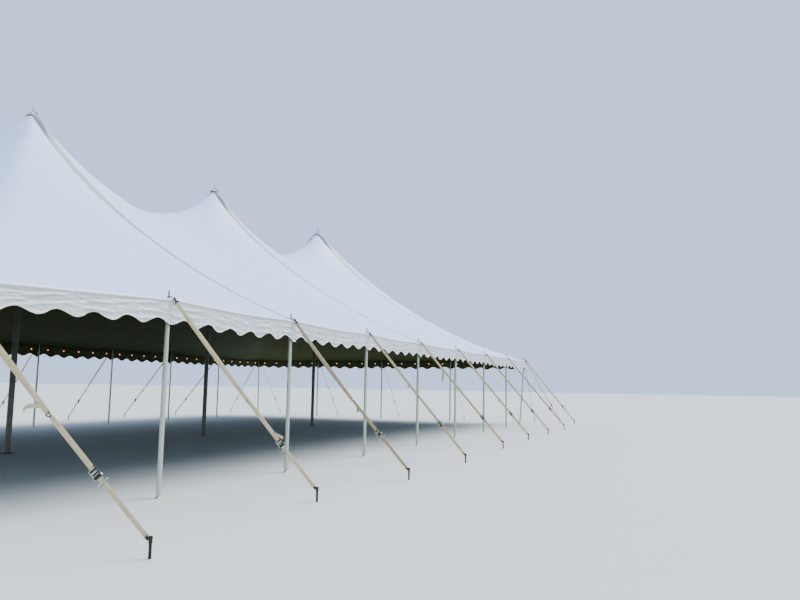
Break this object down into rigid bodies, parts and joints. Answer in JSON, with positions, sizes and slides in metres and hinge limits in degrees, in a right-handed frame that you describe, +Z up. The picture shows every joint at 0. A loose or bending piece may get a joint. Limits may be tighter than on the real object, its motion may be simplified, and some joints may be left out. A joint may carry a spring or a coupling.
{
  "type": "marquee tent",
  "caption": "White high-peak marquee with a scalloped valance, held up by centre poles and side poles, with webbing guys to ground stakes and a string of lamps inside its eave.",
  "frame": {"origin": "on the ground, at the middle of the tent's floor and of its stakes", "axes": "+X along the row of centre poles, +Y across the tent away from the long side seen from outside in the picture, +Z up"},
  "size_m": [28.4824, 16.5706, 6.935],
  "materials": {
    "white_vinyl": "coated white vinyl cloth with a soft satin sheen, welded seams and a bound hem",
    "centre_pole_aluminium": "weathered mill-finish tube, dull grey",
    "side_pole_aluminium": "bright mill-finish tube with a zinc-plated steel pin",
    "cream_webbing": "woven polyester webbing with zinc-plated ratchets and dark steel stakes",
    "lamp_cable": "black rubbery cable with warm white bulbs"
  },
  "bodies": {
    "root": {"canopy_left_end": "white_vinyl", "canopy_middle_1": "white_vinyl", "canopy_middle_2": "white_vinyl", "canopy_right_end": "white_vinyl", "centre_pole_1": "centre_pole_aluminium", "centre_pole_2": "centre_pole_aluminium", "centre_pole_3": "centre_pole_aluminium", "corner_guys_far_0": "cream_webbing", "corner_guys_far_8": "cream_webbing", "corner_guys_near_0": "cream_webbing", "corner_guys_near_8": "cream_webbing", "guy_far_1": "cream_webbing", "guy_far_2": "cream_webbing", "guy_far_3": "cream_webbing", "guy_far_4": "cream_webbing", "guy_far_5": "cream_webbing", "guy_far_6": "cream_webbing", "guy_far_7": "cream_webbing", "guy_left_1": "cream_webbing", "guy_left_2": "cream_webbing", "guy_left_3": "cream_webbing", "guy_near_1": "cream_webbing", "guy_near_2": "cream_webbing", "guy_near_3": "cream_webbing", "guy_near_4": "cream_webbing", "guy_near_5": "cream_webbing", "guy_near_6": "cream_webbing", "guy_near_7": "cream_webbing", "guy_right_1": "cream_webbing", "guy_right_2": "cream_webbing", "guy_right_3": "cream_webbing", "lamp_string": "lamp_cable", "side_pole_far_0": "side_pole_aluminium", "side_pole_far_1": "side_pole_aluminium", "side_pole_far_2": "side_pole_aluminium", "side_pole_far_3": "side_pole_aluminium", "side_pole_far_4": "side_pole_aluminium", "side_pole_far_5": "side_pole_aluminium", "side_pole_far_6": "side_pole_aluminium", "side_pole_far_7": "side_pole_aluminium", "side_pole_far_8": "side_pole_aluminium", "side_pole_left_1": "side_pole_aluminium", "side_pole_left_2": "side_pole_aluminium", "side_pole_left_3": "side_pole_aluminium", "side_pole_near_0": "side_pole_aluminium", "side_pole_near_1": "side_pole_aluminium", "side_pole_near_2": "side_pole_aluminium", "side_pole_near_3": "side_pole_aluminium", "side_pole_near_4": "side_pole_aluminium", "side_pole_near_5": "side_pole_aluminium", "side_pole_near_6": "side_pole_aluminium", "side_pole_near_7": "side_pole_aluminium", "side_pole_near_8": "side_pole_aluminium", "side_pole_right_1": "side_pole_aluminium", "side_pole_right_2": "side_pole_aluminium", "side_pole_right_3": "side_pole_aluminium"}
  },
  "joints": []
}
